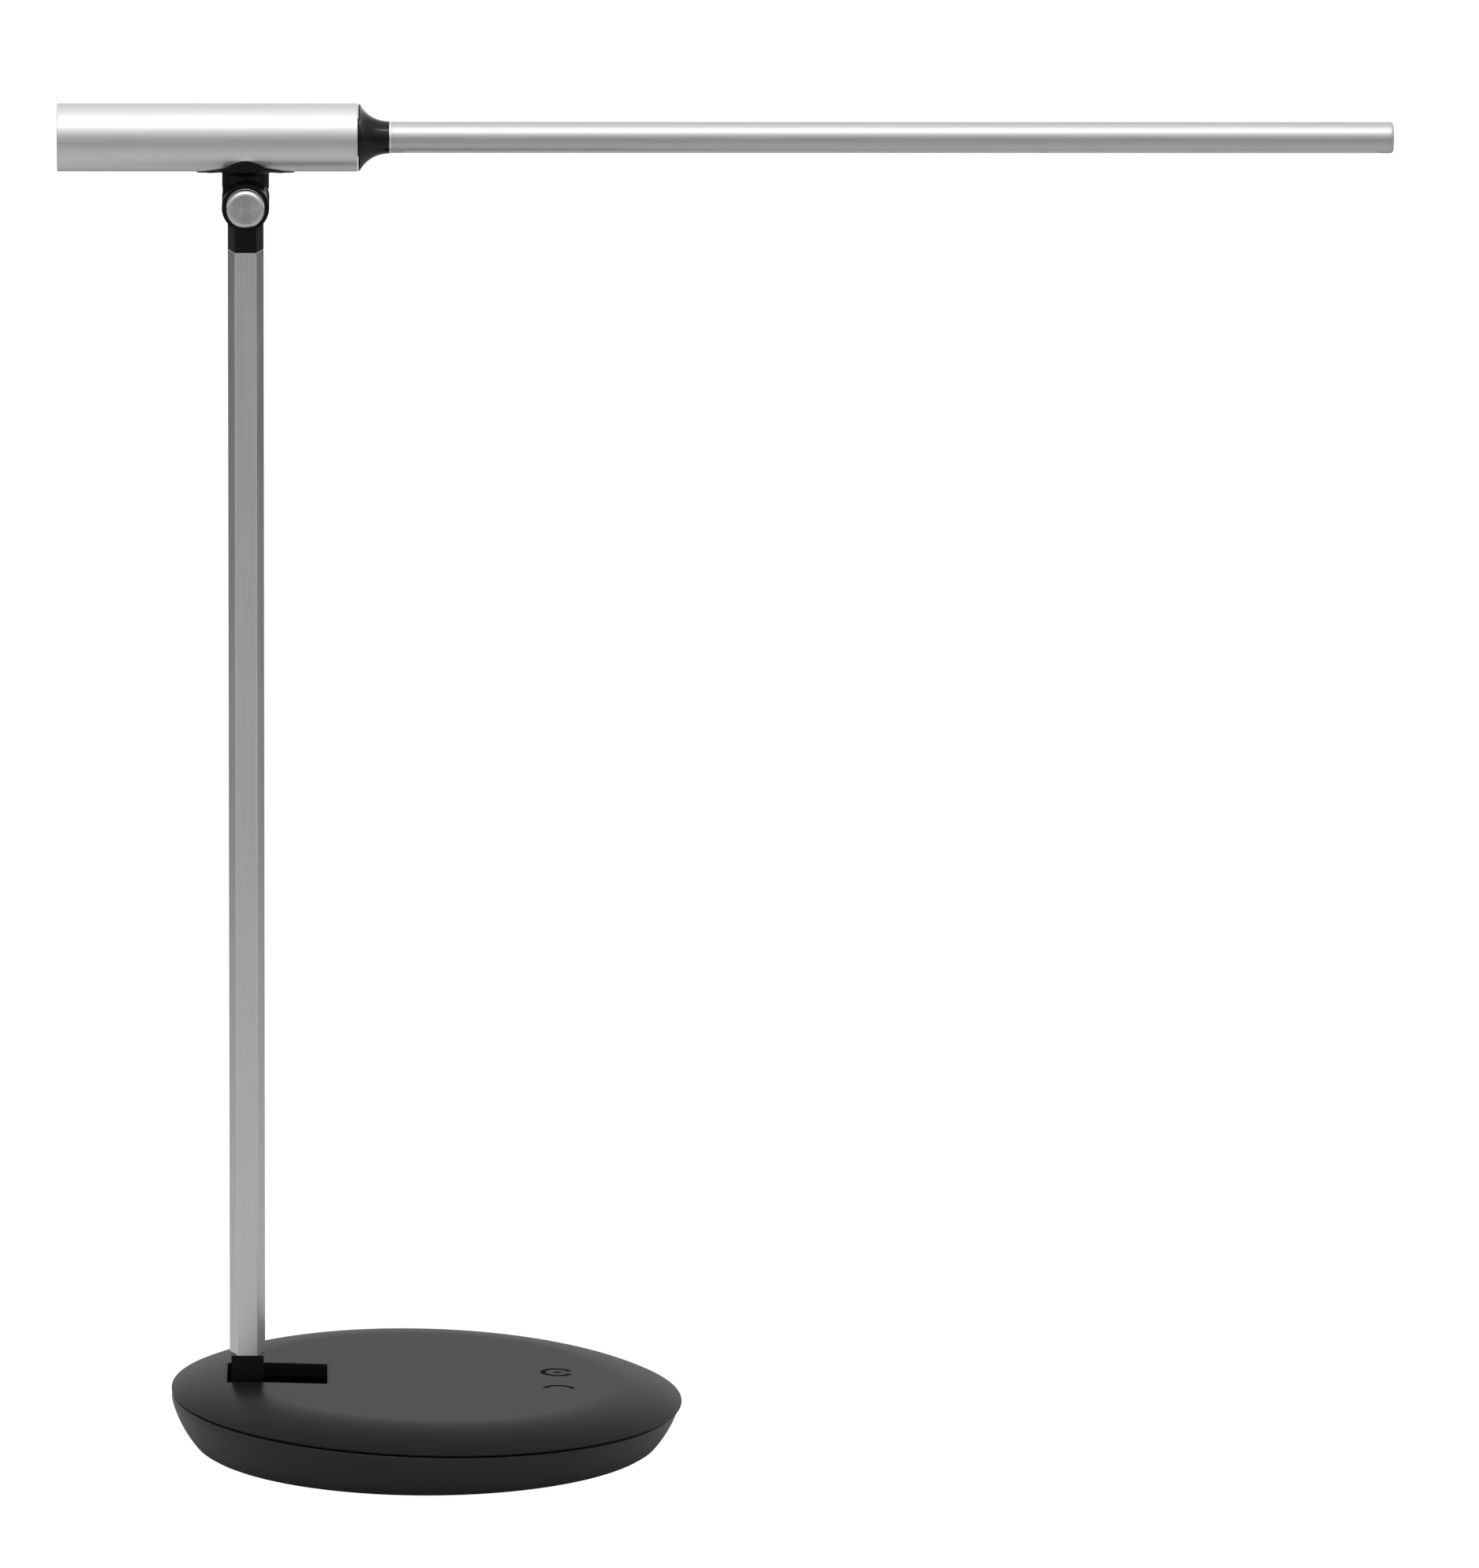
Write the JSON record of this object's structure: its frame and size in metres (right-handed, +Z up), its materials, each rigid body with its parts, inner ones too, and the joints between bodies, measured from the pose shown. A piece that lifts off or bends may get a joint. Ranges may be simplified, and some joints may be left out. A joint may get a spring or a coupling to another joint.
{
  "type": "desk lamp",
  "caption": "LED desk lamp: heavy round base, flat column that tilts forward in a slot, and a tilting barrel head with a long slim light tube.",
  "frame": {"origin": "centre of the round base, on the surface that the lamp stands on", "axes": "+Z up; +X from the column towards the tip of the light tube; the knuckle's knob is on the -Y side"},
  "size_m": [0.4909, 0.1904, 0.506],
  "materials": {
    "iron": "dark oxide coated plate",
    "base_shell": "dark warm grey satin moulded plastic",
    "pad": "matt black rubber",
    "steel": "zinc-plated steel",
    "black_steel": "black-coated steel",
    "black_metal": "satin black painted die casting",
    "black_plastic": "satin black moulded plastic",
    "washer": "plain brass",
    "bush": "black acetal",
    "board": "green solder mask",
    "led_board": "white solder mask on an aluminium core",
    "led": "clear package over yellow phosphor",
    "key_mark": "darker ink, flush with the cover",
    "silver": "satin anodised aluminium",
    "knob_silver": "turned and brushed aluminium",
    "diffuser": "opal polycarbonate"
  },
  "bodies": {
    "base": {"base_tray": "base_shell", "base_cover": "base_shell", "foot_pad": "pad", "weight_plate": "iron", "base_screws": "steel", "slot_liner": "black_plastic", "hinge_bracket": "black_steel", "bracket_screws": "steel", "foot_hinge_pin": "black_steel", "foot_hinge_nut": "steel", "foot_friction_washers": "washer", "touch_board": "board", "touch_pads": "pad", "touch_board_screws": "steel", "key_marks": "key_mark", "dc_jack": "black_plastic", "dc_jack_pin": "steel"},
    "column": {"column_tube": "silver", "column_foot": "black_metal", "column_head": "black_metal", "column_screws": "steel", "column_wire": "pad", "hinge_bolt": "steel", "hinge_knob": "knob_silver", "hinge_nut": "steel", "hinge_back_cap": "black_plastic", "hinge_friction_washers": "washer", "hinge_spring_washer": "steel"},
    "head": {"yoke": "black_metal", "saddle_plate": "black_plastic", "saddle_nut_plate": "steel", "saddle_screws": "steel", "barrel": "silver", "barrel_end_cap": "silver", "driver_board": "board", "driver_parts": "black_plastic", "roll_bush": "bush"},
    "light_bar": {"bar_cone": "black_plastic", "roll_clip": "steel", "root_ring": "knob_silver", "light_tube": "silver", "led_board": "led_board", "led_chips": "led", "diffuser": "diffuser", "tube_end_cap": "silver"}
  },
  "joints": [
    {"name": "column_tilt", "type": "hinge", "parent": "base", "child": "column", "pos_m": [-0.06685, 0, 0.0145], "axis": [0, 1, 0], "range_deg": [0, 50]},
    {"name": "head_tilt", "type": "hinge", "parent": "column", "child": "head", "pos_m": [-0.06685, 0, 0.4693], "axis": [0, 1, 0], "range_deg": [-30, 75]},
    {"name": "bar_roll", "type": "hinge", "parent": "head", "child": "light_bar", "pos_m": [0, 0, 0.4935], "axis": [1, 0, 0], "range_deg": [-60, 60]}
  ]
}
